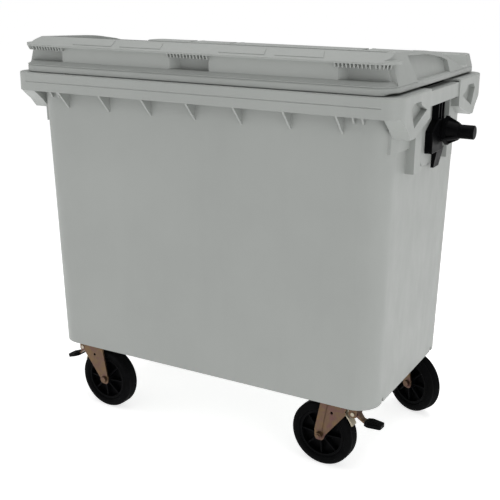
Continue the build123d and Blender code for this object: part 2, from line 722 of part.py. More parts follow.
def grip_teeth():
    """Comb of short webs under the lip at each grip."""
    made = []
    straight = LID_WIDTH / 2 - LIP_OVERHANG - LID_RADIUS
    count = int(2 * (GRIP_HALF_WIDTH - 6) / TOOTH_PITCH)
    blade = outline(
        (0, LIP_UNDERSIDE + 2),
        (TOOTH_DEPTH, LIP_UNDERSIDE + 2),
        (TOOTH_DEPTH, LIP_UNDERSIDE - TOOTH_DROP + 3),
        (TOOTH_DEPTH - 5, LIP_UNDERSIDE - TOOTH_DROP), (5, LIP_UNDERSIDE - TOOTH_DROP), (0, LIP_UNDERSIDE)
    )
    tooth = prism_x(blade, -TOOTH_THICKNESS / 2, TOOTH_THICKNESS / 2)
    for i in range(count + 1):
        x = TOOTH_PITCH * (i - count / 2)
        made.append(Pos(x, LIP_FRONT + 0.5, 0) * tooth)
    x = SIDE_GRIP_START
    while x < straight:
        made.append(Pos(x, LIP_FRONT + 0.5, 0) * tooth)
        made.append(Pos(-x, LIP_FRONT + 0.5, 0) * tooth)
        x += TOOTH_PITCH
    radius = LID_RADIUS
    turn = math.degrees(TOOTH_PITCH / radius)
    for i in range(5):
        angle = turn * (i + 0.5)
        spot = Pos(straight, LIP_FRONT + radius, 0) * Rot(0, 0, angle) * Pos(0, 1.5 - radius, 0) * tooth
        made.append(spot)
        made.append(mirror(spot, Plane.YZ))
    return made


def top_panels():
    """Shallow raised panels on the sloped front and the crown."""
    zone_low = LIP_TOP - 10
    zone_high = CREST_Z + 20
    raised = prism_x(lid_side_view(PANEL_PROUD, True), -LID_WIDTH / 2, LID_WIDTH / 2)
    raised &= lid_plan(0, zone_low, zone_high)
    plans = []
    for x0, x1 in ((95.0, 235.0), (265.0, 405.0)):
        plans.append(outline((x0, -352), (x1, -352), (x1 - 18, -306), (x0 + 18, -306)))
    plans.append(outline((60, -262), (560, -262), (540, -20), (60, -20)))
    pads = None
    for plan in plans:
        pad = prism_z(plan, zone_low, zone_high) & raised
        pads = pad if pads is None else pads + pad
    return both_sides(pads)


def knuckles():
    """Hinge barrels on the back of the lid, one between each pair of ears, with their webs."""
    x0 = EAR_X[0] + EAR_THICKNESS / 2 + KNUCKLE_END_GAP
    x1 = EAR_X[1] - EAR_THICKNESS / 2 - KNUCKLE_END_GAP
    web = outline(
        (LID_DEPTH / 2 - LID_WALL, UPSTAND_TOP - 2),
        (HINGE_Y, HINGE_Z + KNUCKLE_RADIUS),
        (HINGE_Y, HINGE_Z - KNUCKLE_RADIUS),
        (LID_DEPTH / 2 - LID_WALL, FLANGE_TOP - 6),
    )
    return prism_x(web, x0, x1) + rod_x(KNUCKLE_RADIUS, x0, x1, HINGE_Y, HINGE_Z)


def ear_slots():
    half = EAR_THICKNESS / 2 + EAR_SLOT_GAP
    cuts = None
    for x in EAR_X:
        one = slab(x - half, x + half, UPSTAND_Y + 6, LID_DEPTH, FLANGE_TOP, UPSTAND_TOP + EDGE)
        cuts = one if cuts is None else cuts + one
    return both_sides(cuts)


def slot_liners():
    """Walls that close the ridge's hollow around each ear slot."""
    half = EAR_THICKNESS / 2 + EAR_SLOT_GAP + LID_WALL
    fill = None
    for x in EAR_X:
        front, rear = UPSTAND_Y + 6 - LID_WALL, LID_DEPTH / 2 - 1
        one = slab(x - half, x + half, front, rear, FLANGE_TOP - LID_WALL, UPSTAND_TOP - 3)
        fill = one if fill is None else fill + one
    return both_sides(fill)


def buffer_places():
    x = LID_WIDTH / 2 - 170
    y = RIM_DEPTH / 2 - RIM_RADIUS / 2
    return [(sx * x, -y) for sx in (-1, 1)]


def make_lid():
    outer = lid_side_bars(0) & lid_plan(0, FLANGE_TOP - 2 * EDGE, CREST_Z + EDGE)
    flange = prism_z(RectangleRounded(LID_WIDTH, LID_DEPTH, LID_RADIUS), LID_BOTTOM, FLANGE_TOP)
    flange = fillet(flange.edges().group_by(Axis.Z)[-1], LID_FLANGE_EDGE)
    cavity = lid_side_bars(-LID_WALL) & lid_plan(LID_WALL, LID_BOTTOM - 2 * EDGE, CREST_Z + EDGE)
    cavity = cavity - riser_recess(LID_WALL) - grip_pockets(LID_WALL) - both_sides(side_window(LID_WALL))
    mouth = LID_WALL
    throat = prism_z(
        RectangleRounded(LID_WIDTH - 2 * mouth, LID_DEPTH - 2 * mouth, LID_RADIUS - mouth),
        LID_BOTTOM - EDGE,
        FLANGE_TOP - LID_WALL,
    )
    outer = outer - riser_recess(0) - grip_pockets(0) - both_sides(side_window(0))
    lid = outer + flange + top_panels() + visor()
    lid = lid - cavity - throat + slot_liners() - ear_slots() + both_sides(knuckles())
    lid += grip_teeth()
    bore = HINGE_PIN_RADIUS + HINGE_CLEARANCE
    lid -= both_sides(rod_x(bore, EAR_X[0], EAR_X[1], HINGE_Y, HINGE_Z))
    for x, y in buffer_places():
        lid += rod_z(BUFFER_STEM_RADIUS * 2.2, LID_BOTTOM + 9, FLANGE_TOP + 3, x, y)
        lid -= rod_z(BUFFER_STEM_RADIUS + FIT, LID_BOTTOM + 8, LID_BOTTOM + 19, x, y)
    return lid


def group(shapes):
    """Separate solids that share one node."""
    return Compound([solid for shape in shapes for solid in shape.solids()])


def make_lid_buffers():
    """Soft buffers pushed into the lid's front corners, which land on the rim."""
    made = []
    for x, y in buffer_places():
        head = rod_z(BUFFER_RADIUS, LID_BOTTOM - LID_GAP + 0.3, LID_BOTTOM + 9, x, y)
        made.append(head + rod_z(BUFFER_STEM_RADIUS, LID_BOTTOM + 9, LID_BOTTOM + 18, x, y))
    return group(made)


# ---- lid hinge pins and rear handles ---------------------------------------------------------------
def make_hinge_pin(side):
    """Headed pin through a pair of ears, with a push-on cap at its outer end."""
    x0 = EAR_X[0] - EAR_THICKNESS / 2 - 0.2
    x1 = EAR_X[1] + EAR_THICKNESS / 2 + 0.2
    pin = rod_x(HINGE_PIN_RADIUS, x0 - PIN_HEAD_THICKNESS, x1 + 6, HINGE_Y, HINGE_Z)
    pin += rod_x(PIN_HEAD_RADIUS, x0 - PIN_HEAD_THICKNESS, x0, HINGE_Y, HINGE_Z)
    return pin if side == "right" else mirror(pin, Plane.YZ)


def make_hinge_pin_caps():
    x0 = EAR_X[1] + EAR_THICKNESS / 2 + 0.2
    cap = rod_x(PIN_HEAD_RADIUS, x0, x0 + 9, HINGE_Y, HINGE_Z)
    cap = fillet(cap.edges().filter_by(GeomType.CIRCLE).group_by(Axis.X)[-1], 2.0)
    cap -= rod_x(HINGE_PIN_RADIUS + FIT, x0 - EDGE, x0 + 6 + FIT, HINGE_Y, HINGE_Z)
    return group([cap, mirror(cap, Plane.YZ)])


def make_handle(side):
    """Ribbed bar between two lugs under the rear band."""
    half = HANDLE_SPAN / 2
    x0 = HANDLE_X - half + 0.3
    x1 = HANDLE_X + half - 0.3
    bar = rod_x(HANDLE_RADIUS, x0, x1, HANDLE_Y, HANDLE_Z)
    for i in range(9):
        x = HANDLE_X + (i - 4) * HANDLE_SPAN / 10
        ring = rod_x(HANDLE_RADIUS + EDGE, x - 3, x + 3, HANDLE_Y, HANDLE_Z)
        bar -= ring - rod_x(HANDLE_RADIUS - 1.2, x - 4, x + 4, HANDLE_Y, HANDLE_Z)
    reach = half + HANDLE_LUG_THICKNESS
    bar += rod_x(HANDLE_SPIGOT_RADIUS, HANDLE_X - reach, HANDLE_X + reach, HANDLE_Y, HANDLE_Z)
    bore = HANDLE_SCREW_RADIUS + FIT
    for sign in (-1, 1):
        end = HANDLE_X + sign * reach
        bar -= rod_x(bore, end - sign * 26, end + sign * EDGE, HANDLE_Y, HANDLE_Z)
    return bar if side == "right" else mirror(bar, Plane.YZ)


def make_handle_screws():
    """Washer-head screws that hold the handle bars in their lugs."""
    made = []
    reach = HANDLE_SPAN / 2 + HANDLE_LUG_THICKNESS + 0.2
    for sign in (-1, 1):
        head = HANDLE_X + sign * reach
        screw = rod_x(HANDLE_SCREW_RADIUS, head - sign * 24, head, HANDLE_Y, HANDLE_Z)
        screw += rod_x(HANDLE_SPIGOT_RADIUS + 3, head, head + sign * 2, HANDLE_Y, HANDLE_Z)
        dome = fillet(
            rod_x(6.5, head + sign * 2, head + sign * 6, HANDLE_Y, HANDLE_Z)
            .edges()
            .filter_by(GeomType.CIRCLE)
            .sort_by(Axis.X)[-1 if sign > 0 else 0],
            2.0,
        )
        made += [screw + dome, mirror(screw + dome, Plane.YZ)]
    return group(made)


# ---- trunnions -------------------------------------------------------------------------------------
def trunnion_block():
    """Front block of the bracket, with its top cut off at a slant towards the column."""
    y, z = TRUNNION_Y, TRUNNION_Z
    face = rounded_outline(
        [
            (y + TRUNNION_BLOCK_FRONT, z + TRUNNION_BLOCK_FOOT),
            (y + TRUNNION_BLOCK_REAR, z + TRUNNION_BLOCK_FOOT),
            (y + TRUNNION_BLOCK_REAR, z + TRUNNION_BLOCK_TOP),
            (y + TRUNNION_COLUMN_FRONT, z + TRUNNION_BLOCK_TOP),
            (y + TRUNNION_BLOCK_FRONT, z + TRUNNION_BLOCK_SHOULDER),
        ],
        [6, 6, 5, 5, 5],
    )
    block = prism_x(face, PAD_FACE, PAD_FACE + TRUNNION_BLOCK_DEPTH)
    return chamfer(block.edges().group_by(Axis.X)[-1], 2 * EDGE)


def trunnion_column():
    """Ribbed bar that runs from the block up under the rim band."""
    y = TRUNNION_Y
    low = TRUNNION_Z + TRUNNION_BLOCK_SHOULDER
    top = BAND_BOTTOM - EDGE
    front = y + TRUNNION_COLUMN_FRONT
    rear = y + TRUNNION_COLUMN_REAR
    column = slab(PAD_FACE, PAD_FACE + TRUNNION_COLUMN_DEPTH - TRUNNION_RIB, front, rear, low, top)
    for start in (front, (front + rear - TRUNNION_RIB) / 2, rear - TRUNNION_RIB):
        column += slab(PAD_FACE, PAD_FACE + TRUNNION_COLUMN_DEPTH, start, start + TRUNNION_RIB, low, top)
    return column


def trunnion_tail():
    """Wedge under the block that tapers towards the wall."""
    y, z = TRUNNION_Y, TRUNNION_Z
    foot = z + TRUNNION_TAIL_FOOT
    top = z + TRUNNION_BLOCK_FOOT + TRUNNION_RIB
    front = y + TRUNNION_TAIL_FRONT
    rear = y + TRUNNION_TAIL_REAR
    side_view = outline(
        (PAD_FACE, foot),
        (PAD_FACE + TRUNNION_TAIL_DEPTH, foot),
        (PAD_FACE + TRUNNION_BLOCK_DEPTH - TRUNNION_RIB, top),
        (PAD_FACE, top),
    )
    front_view = outline((front, top), (rear, top), (y + TRUNNION_TAIL_TIP_REAR, foot), (front, foot))
    return prism_y(side_view, front, rear) & prism_x(front_view, PAD_FACE, TRUNNION_REACH)


def trunnion_pin():
    """Pin on a ribbed cone with a six-sided flange."""
    root = TRUNNION_REACH - TRUNNION_PIN_LENGTH
    r = TRUNNION_PIN_RADIUS
    start = PAD_FACE + TRUNNION_FLANGE_START
    face = PAD_FACE + TRUNNION_FLANGE_END
    turned = outline(
        (PAD_FACE, 0),
        (TRUNNION_REACH, 0),
        (TRUNNION_REACH, r - TRUNNION_PIN_BEVEL),
        (TRUNNION_REACH - TRUNNION_PIN_BEVEL, r),
        (root, r),
        (root, TRUNNION_NECK_RADIUS),
        (face, TRUNNION_CONE_RADIUS),
        (face, TRUNNION_BASE_RADIUS),
        (PAD_FACE, TRUNNION_BASE_RADIUS),
    )
    pin = revolve(turned, Axis.X)
    flange = RegularPolygon(TRUNNION_FLANGE_RADIUS, TRUNNION_FIN_COUNT, rotation=90)
    pin += prism_x(flange, start, face)
    low = TRUNNION_NECK_RADIUS - 3 * EDGE
    fin_view = outline(
        (face - 2 * EDGE, low),
        (root - 2 * EDGE, low),
        (root - 2 * EDGE, TRUNNION_NECK_RADIUS + 2 * EDGE),
        (face - 2 * EDGE, TRUNNION_FLANGE_RADIUS - 2 * EDGE),
    )
    fin = prism_y(fin_view, -TRUNNION_FIN / 2, TRUNNION_FIN / 2)
    for i in range(TRUNNION_FIN_COUNT):
        pin += Rot(360 * i / TRUNNION_FIN_COUNT, 0, 0) * fin
    return Pos(0, TRUNNION_Y, TRUNNION_Z) * pin


def make_trunnion(side):
    """Bolted bracket with the pin that a lifting arm takes hold of."""
    bracket = trunnion_block() + trunnion_column() + trunnion_tail() + trunnion_pin()
    for y, z in trunnion_bolt_places():
        bracket -= rod_x(TRUNNION_BOLT_RADIUS + FIT, PAD_FACE - EDGE, PAD_FACE + TRUNNION_BOLT_DEPTH, y, z)
    return bracket if side == "right" else mirror(bracket, Plane.YZ)


def make_trunnion_bolts():
    """Hex bolts and washers, driven from inside the tub into the brackets."""
    made = []
    washer = 11.0
    for y, z in trunnion_bolt_places():
        seat = body_width(z - washer) / 2 - BODY_WALL - 0.1
        tip = PAD_FACE + TRUNNION_BOLT_DEPTH - 2 * EDGE
        bolt = rod_x(TRUNNION_BOLT_RADIUS, seat - 2, tip, y, z) + rod_x(washer, seat - 2, seat, y, z)
        hexagon = Plane.YZ.offset(seat - 8.4) * RegularPolygon(8.5, 6, major_radius=False)
        head = extrude(hexagon, 6.4, dir=(1, 0, 0))
        bolt += Pos(0, y, z) * head
        made += [bolt, mirror(bolt, Plane.YZ)]
    return group(made)


# ---- floor drain -----------------------------------------------------------------------------------
def make_drain_plug():
    under = FLOOR_UNDERSIDE - DRAIN_SEAL
    plug = rod_z(DRAIN_RADIUS, under - EDGE, FLOOR_TOP + 4, 0, DRAIN_Y)
    plug += rod_z(DRAIN_FLANGE, under - DRAIN_FLANGE_THICKNESS, under, 0, DRAIN_Y)
    plug -= rod_z(DRAIN_RADIUS - 6, FLOOR_UNDERSIDE, FLOOR_TOP + 5, 0, DRAIN_Y)
    grip = slab(-DRAIN_RADIUS + 4, DRAIN_RADIUS - 4, DRAIN_Y - 3, DRAIN_Y + 3, under - 14, under - 2)
    return plug + grip


def make_drain_seal():
    low = FLOOR_UNDERSIDE - DRAIN_SEAL
    ring = rod_z(DRAIN_FLANGE - 2, low, FLOOR_UNDERSIDE, 0, DRAIN_Y)
    return ring - rod_z(DRAIN_RADIUS + FIT, low - EDGE, FLOOR_UNDERSIDE + EDGE, 0, DRAIN_Y)


# ---- castors, each modelled with its kingpin at the origin and its wheel towards +X -----------------
def castor_frame(name):
    x, y = castor_places()[name]
    return Pos(x, y, 0) * Rot(0, 0, CASTOR_TURN[name])


def pressed(name, ratio, pivot_x, pivot_z):
    """Turn of a brake piece about its pivot, as far as that castor's pedal is pressed down."""
    return Pos(pivot_x, 0, pivot_z) * Rot(0, -ratio * PEDAL_PRESSED[name], 0) * Pos(-pivot_x, 0, -pivot_z)


def make_castor_plate(name):
    """Mounting plate with the upper half of the swivel race pressed into it."""
    plate = prism_z(RectangleRounded(PLATE_X, PLATE_Y, 8.0), PLATE_BOTTOM, FLOOR_UNDERSIDE)
    race_low = CROWN_TOP + 6.0
    cup = rod_z(RACE_RADIUS, race_low, PLATE_BOTTOM + EDGE)
    cup -= rod_z(RACE_RADIUS - 4, race_low - EDGE, PLATE_BOTTOM - 5)
    groove = revolve(Pos(BALL_CIRCLE, 0) * Plane.XZ * Circle(BALL_RADIUS + FIT), Axis.Z)
    plate = plate + cup - Pos(0, 0, ball_height()) * groove
    plate -= rod_z(KINGPIN_RADIUS + FIT, 0, FLOOR_TOP) + rod_z(14.0 + FIT, race_low, PLATE_BOTTOM)
    for x, y in plate_corners():
        plate -= rod_z(PLATE_BOLT_RADIUS + 0.5, PLATE_BOTTOM - EDGE, FLOOR_TOP, x, y)
    x, y = castor_places()[name]
    return Pos(x, y, 0) * plate


def ball_height():
    return PLATE_BOTTOM - 5 - BALL_RADIUS + 0.5


def make_castor_balls():
    """Ring of balls between the two halves of each swivel race."""
    ball = Pos(BALL_CIRCLE, 0, ball_height()) * Sphere(BALL_RADIUS)
    made = []
    for x, y in castor_places().values():
        made += [Pos(x, y, 0) * Rot(0, 0, 360 * i / BALL_COUNT) * ball for i in range(BALL_COUNT)]
    return group(made)


def make_castor_bolts():
    """Hex bolts up through the plates and the floor, with washers and nuts inside the tub."""
    made = []
    for x, y in bolt_places():
        head = hexagon_z(17.0, PLATE_BOTTOM - 6.4, PLATE_BOTTOM, x, y)
        shank = rod_z(PLATE_BOLT_RADIUS, PLATE_BOTTOM - EDGE, FLOOR_TOP + 14, x, y)
        washer = rod_z(10.5, FLOOR_TOP, FLOOR_TOP + 2, x, y)
        nut = hexagon_z(17.0, FLOOR_TOP + 2, FLOOR_TOP + 10, x, y)
        made.append(head + shank + washer + nut)
    return group(made)


def make_kingpin(name):
    """Kingpin through the race, with its nut under the fork crown."""
    low = FORK_CROWN_UNDERSIDE - 9.0
    pin = rod_z(KINGPIN_RADIUS, low - 1.5, PLATE_BOTTOM + 3.5)
    pin += rod_z(14.0, PLATE_BOTTOM - 4.6, PLATE_BOTTOM - 0.1)
    pin += hexagon_z(19.0, low, FORK_CROWN_UNDERSIDE - 0.5)
    x, y = castor_places()[name]
    return Pos(x, y, 0) * pin


def fork_leg():
    """Pressed leg: a tapering web with a stiffening strip along its trailing edge."""
    z = WHEEL_RADIUS
    top = CROWN_TOP
    web = rounded_outline(
        [
            (-26, top),
            (-22, top - 26),
            (TRAIL - AXLE_EYE, z + 2),
            (TRAIL - AXLE_EYE + 4, z - AXLE_EYE + 2),
            (TRAIL + AXLE_EYE - 2, z - AXLE_EYE),
            (TRAIL + AXLE_EYE, z + 8),
            (TRAIL - 2, top),
        ],
        [2, 8, 18, 12, 12, 20, 4],
    )
    leg = prism_y(web, LEG_INNER, LEG_INNER + FORK_SHEET)
    strip = outline(
        (TRAIL - 24, top - 2),
        (TRAIL - 2, top - 2),
        (TRAIL + AXLE_EYE - 0.5, z + 14),
        (TRAIL - 8, z + 14),
    )
    return leg + prism_y(strip, LEG_INNER + EDGE, LEG_INNER + FORK_SHEET + 2.5)


def make_fork(name):
    """Swivel fork: crown, two legs and the lower half of the swivel race."""
    leg = fork_leg()
    fork = leg + mirror(leg, Plane.XZ)
    wide = 2 * (LEG_INNER + FORK_SHEET)
    crown = slab(-26, TRAIL - 2, -wide / 2, wide / 2, FORK_CROWN_UNDERSIDE, CROWN_TOP)
    fork += crown + rod_z(CROWN_RADIUS, FORK_CROWN_UNDERSIDE, CROWN_TOP)
    fork += rod_z(RACE_RADIUS - 4 - RACE_GAP, CROWN_TOP - EDGE, ball_height() - 0.6)
    groove = revolve(Pos(BALL_CIRCLE, 0) * Plane.XZ * Circle(BALL_RADIUS + 0.3), Axis.Z)
    fork -= Pos(0, 0, ball_height()) * groove
    fork -= rod_z(KINGPIN_RADIUS + RUNNING, 0, FLOOR_TOP)
    fork -= rod_y(AXLE_RADIUS + FIT, -wide, wide, TRAIL, WHEEL_RADIUS)
    fork -= rod_y(4.5, -wide, wide, 22.0, CROWN_TOP - 30)
    if name in BRAKED:
        for sign in (-1, 1):
            y = sign * (EAR_HALF_WIDTH + EAR_SHEET / 2)
            ear = rounded_outline(
                [
                    (-18, CROWN_TOP),
                    (-52, CROWN_TOP - 6),
                    (-52, PEDAL_PIVOT_Z - 10),
                    (-34, PEDAL_PIVOT_Z - 12),
                    (-14, CROWN_TOP - 10),
                ],
                [1, 5, 7, 7, 2],
            )
            fork += prism_y(ear, y - EAR_SHEET / 2, y + EAR_SHEET / 2)
        fork -= rod_y(PEDAL_PIN_RADIUS + FIT, -wide, wide, PEDAL_PIVOT_X, PEDAL_PIVOT_Z)
        fork -= rod_y(SHOE_PIN_RADIUS + FIT, -wide, wide, SHOE_PIVOT_X, SHOE_PIVOT_Z)
    return castor_frame(name) * fork


def make_axle_bolt(name):
    """Axle bolt through both legs and the wheel's bush."""
    y = LEG_INNER + FORK_SHEET + 0.1
    bolt = rod_y(AXLE_RADIUS, -y, y + 13, TRAIL, WHEEL_RADIUS)
    head = extrude(Plane.XZ.offset(y) * RegularPolygon(9.5, 6, major_radius=False), 7.5, dir=(0, -1, 0))
    bolt += Pos(TRAIL, 0, WHEEL_RADIUS) * head
    return castor_frame(name) * bolt


def make_axle_nut(name):
    """Flanged lock nut on the axle bolt."""
    y = LEG_INNER + FORK_SHEET + 0.1
    nut = Pos(TRAIL, 0, WHEEL_RADIUS) * extrude(
        Plane.XZ.offset(-y - 1.5) * RegularPolygon(9.5, 6, major_radius=False), 8.5, dir=(0, 1, 0)
    )
    nut += rod_y(12.0, y, y + 1.8, TRAIL, WHEEL_RADIUS)
    nut -= rod_y(AXLE_RADIUS + FIT, 0, y + 30, TRAIL, WHEEL_RADIUS)
    return castor_frame(name) * nut


def turned_wheel(*half_outline):
    """A solid of revolution about the wheel's axle from an outline of (radius, offset along the axle)."""
    face = Plane.XY * outline(*[(r, w) for r, w in half_outline])
    return Pos(TRAIL, 0, WHEEL_RADIUS) * revolve(face, Axis.Y)


def make_tyre(name):
    w = TYRE_WIDTH / 2
    r = WHEEL_RADIUS
    s = TYRE_SHOULDER
    points = [(TYRE_BORE, w - 5), (TYRE_BORE + 3, w - 3), (r - s - 3, w), (r - s, w - 0.5)]
    for i in range(1, 6):
        angle = math.pi / 2 * i / 6
        points.append((r - s + s * math.sin(angle), w - s + (s - 0.5) * math.cos(angle)))
    points += [(r, w - s - 1), (r, 4.0), (r - 1.5, 3.0), (r - 1.5, -3.0), (r, -4.0)]
    lower = [(radius, -offset) for radius, offset in reversed(points[:10])]
    return castor_frame(name) * turned_wheel(*points, *lower)


def make_hub(name):
    """Moulded wheel centre: rim, web, stiffening ribs and a barrel for the bush."""
    w = TYRE_WIDTH / 2
    barrel = HUB_LENGTH / 2
    inner = RIM_FLANGE
    hub = turned_wheel((inner, w - 5), (TYRE_BORE, w - 5), (TYRE_BORE, 5 - w), (inner, 5 - w))
    bore = BUSH_RADIUS + FIT
    web = HUB_WEB / 2
    hub += turned_wheel((bore, web), (inner + 2, web), (inner + 2, -web), (bore, -web))
    barrel_end = HUB_BARREL_RADIUS - 3
    hub += turned_wheel(
        (bore, barrel), (barrel_end, barrel), (HUB_BARREL_RADIUS, 0), (barrel_end, -barrel), (bore, -barrel)
    )
    rib_foot = HUB_BARREL_RADIUS - 4
    rib_view = outline((rib_foot, barrel - 6), (inner + 2, w - 9), (inner + 2, 9 - w), (rib_foot, 6 - barrel))
    rib = extrude(rib_view, 2.0, both=True)
    for i in range(HUB_RIBS):
        spoke = Pos(TRAIL, 0, WHEEL_RADIUS) * Rot(0, 360 * i / HUB_RIBS, 0) * rib
        hub += spoke
    return castor_frame(name) * hub


def make_bush(name):
    half = HUB_LENGTH / 2 - 0.1
    bush = rod_y(BUSH_RADIUS, -half, half, TRAIL, WHEEL_RADIUS)
    bush -= rod_y(AXLE_RADIUS + RUNNING, -half - 1, half + 1, TRAIL, WHEEL_RADIUS)
    return castor_frame(name) * bush


# ---- brakes of the front castors -------------------------------------------------------------------
def make_pedal_pin(name):
    reach = EAR_HALF_WIDTH + EAR_SHEET
    pin = rod_y(PEDAL_PIN_RADIUS, -reach - 1.5, reach + 1.5, PEDAL_PIVOT_X, PEDAL_PIVOT_Z)
    for sign in (-1, 1):
        start, end = sign * (reach + 0.1), sign * (reach + 2.5)
        pin += rod_y(PEDAL_PIN_RADIUS + 2, start, end, PEDAL_PIVOT_X, PEDAL_PIVOT_Z)
    return castor_frame(name) * pin


def make_shoe_pin(name):
    reach = EAR_HALF_WIDTH + EAR_SHEET
    pin = rod_y(SHOE_PIN_RADIUS, -reach - 1.5, reach + 1.5, SHOE_PIVOT_X, SHOE_PIVOT_Z)
    for sign in (-1, 1):
        start, end = sign * (reach + 0.1), sign * (reach + 2.0)
        pin += rod_y(SHOE_PIN_RADIUS + 1.5, start, end, SHOE_PIVOT_X, SHOE_PIVOT_Z)
    return castor_frame(name) * pin


def make_pedal_lever(name):
    """Cranked steel lever from the pivot out to the pedal."""
    side_view = rounded_outline(
        [
            (PEDAL_PIVOT_X + 10, PEDAL_PIVOT_Z - 9),
            (PEDAL_PIVOT_X + 9, PEDAL_PIVOT_Z + 6),
            (PEDAL_PIVOT_X - 6, PEDAL_PIVOT_Z + 9),
            (PAD_START_X + 4, PAD_Z + 5),
            (PAD_END_X + 14, PAD_Z + 3),
            (PAD_END_X + 14, PAD_Z - 1),
            (PAD_START_X, PAD_Z - 1),
            (PEDAL_PIVOT_X - 8, PEDAL_PIVOT_Z - 11),
        ],
        [4, 5, 6, 6, 0, 0, 4, 6],
    )
    lever = prism_y(side_view, -PEDAL_LEVER_WIDTH / 2, PEDAL_LEVER_WIDTH / 2)
    lever -= rod_y(PEDAL_PIN_RADIUS + RUNNING, -40, 40, PEDAL_PIVOT_X, PEDAL_PIVOT_Z)
    return castor_frame(name) * pressed(name, 1.0, PEDAL_PIVOT_X, PEDAL_PIVOT_Z) * lever


def make_pedal_pad(name):
    """Moulded foot pad pushed over the end of the lever, with grip bars on top."""
    t = PEDAL_PAD_THICKNESS
    low = PAD_Z - t / 2
    plan = rounded_outline(
        [
            (PAD_START_X - 4, -PEDAL_PAD_WIDTH * 0.36),
            (PAD_START_X - 4, PEDAL_PAD_WIDTH * 0.36),
            (PAD_START_X - 18, PEDAL_PAD_WIDTH / 2),
            (PAD_END_X, PEDAL_PAD_WIDTH * 0.36),
            (PAD_END_X, -PEDAL_PAD_WIDTH * 0.36),
            (PAD_START_X - 18, -PEDAL_PAD_WIDTH / 2),
        ],
        [4, 4, 8, 6, 6, 8],
    )
    pad = prism_z(plan, low, low + t)
    pad = fillet(pad.edges().group_by(Axis.Z)[-1], 2.5)
    for i in range(4):
        x = PAD_START_X - 16 - 9 * i
        rib = PEDAL_PAD_WIDTH * 0.3
        pad += slab(x - 1.5, x + 1.5, -rib, rib, low + t - 1, low + t + 1.5)
    wide = PEDAL_LEVER_WIDTH / 2 + FIT
    slot = slab(PAD_END_X + 14 - FIT, PAD_START_X + 10, -wide, wide, PAD_Z - 1 - FIT, PAD_Z + 5 + FIT)
    return castor_frame(name) * pressed(name, 1.0, PEDAL_PIVOT_X, PEDAL_PIVOT_Z) * (pad - slot)


def round_wheel(radius, bearing):
    """Point in the castor's side view at a radius and bearing from the wheel's centre."""
    angle = math.radians(bearing)
    return TRAIL + radius * math.cos(angle), WHEEL_RADIUS + radius * math.sin(angle)


def make_brake_shoe(name):
    """Curved shoe that the pedal's cam presses on the tread."""
    near = WHEEL_RADIUS + SHOE_GAP
    far = near + SHOE_THICKNESS
    ring = rod_y(far, -SHOE_WIDTH / 2, SHOE_WIDTH / 2, TRAIL, WHEEL_RADIUS)
    ring -= rod_y(near, -SHOE_WIDTH, SHOE_WIDTH, TRAIL, WHEEL_RADIUS)
    wedge = outline(
        (TRAIL, WHEEL_RADIUS),
        round_wheel(2 * WHEEL_RADIUS, SHOE_BEARING + SHOE_HEEL),
        round_wheel(2 * WHEEL_RADIUS, SHOE_BEARING + SHOE_TOE),
    )
    shoe = ring & prism_y(wedge, -SHOE_WIDTH, SHOE_WIDTH)
    neck_x, neck_z = round_wheel(near + 1, SHOE_BEARING + SHOE_NECK)
    arm = outline(
        (SHOE_PIVOT_X - 4, SHOE_PIVOT_Z + 3),
        (SHOE_PIVOT_X + 4, SHOE_PIVOT_Z + 3),
        (neck_x + 6, neck_z + 4),
        (neck_x - 6, neck_z - 2),
    )
    shoe += prism_y(arm, -6, 6) + rod_y(SHOE_PIN_RADIUS + 3, -6, 6, SHOE_PIVOT_X, SHOE_PIVOT_Z)
    shoe -= rod_y(WHEEL_RADIUS + SHOE_GAP, -SHOE_WIDTH, SHOE_WIDTH, TRAIL, WHEEL_RADIUS)
    shoe -= rod_y(SHOE_PIN_RADIUS + RUNNING, -40, 40, SHOE_PIVOT_X, SHOE_PIVOT_Z)
    return castor_frame(name) * pressed(name, SHOE_RATIO, SHOE_PIVOT_X, SHOE_PIVOT_Z) * shoe


# ---- the whole container ---------------------------------------------------------------------------
def all_parts():
    parts = {
        "tub": make_tub(),
        "lid": make_lid(),
        "lid_buffers": make_lid_buffers(),
        "hinge_pin_caps": make_hinge_pin_caps(),
        "handle_screws": make_handle_screws(),
        "trunnion_bolts": make_trunnion_bolts(),
        "castor_bolts": make_castor_bolts(),
        "castor_balls": make_castor_balls(),
        "drain_plug": make_drain_plug(),
        "drain_seal": make_drain_seal(),
    }
    for side in ("left", "right"):
        parts["hinge_pin_" + side] = make_hinge_pin(side)
        parts["rear_handle_" + side] = make_handle(side)
        parts["trunnion_" + side] = make_trunnion(side)
    makers = {
        "castor_plate": make_castor_plate,
        "kingpin": make_kingpin,
        "fork": make_fork,
        "axle_bolt": make_axle_bolt,
        "axle_nut": make_axle_nut,
        "tyre": make_tyre,
        "wheel_hub": make_hub,
        "wheel_bush": make_bush,
    }
    brake_makers = {
        "pedal_pin": make_pedal_pin,
        "shoe_pin": make_shoe_pin,
        "pedal_lever": make_pedal_lever,
        "pedal_pad": make_pedal_pad,
        "brake_shoe": make_brake_shoe,
    }
    for name in CASTOR_TURN:
        for piece, maker in makers.items():
            parts[piece + "_" + name] = maker(name)
    for name in BRAKED:
        for piece, maker in brake_makers.items():
            parts[piece + "_" + name] = maker(name)
    return parts


def main():
    os.makedirs("parts", exist_ok=True)
    for name, shape in all_parts().items():
        placed = Pos(0, FRAME_SHIFT, 0) * shape
        solids = placed.solids()
        export_step(solids[0] if len(solids) == 1 else Compound(solids), "parts/" + name + ".step")
        print(name, len(solids), round(placed.volume))


if __name__ == "__main__":
    main()
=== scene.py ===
import json
import math

import bmesh
import bpy
from mathutils import Matrix, Vector


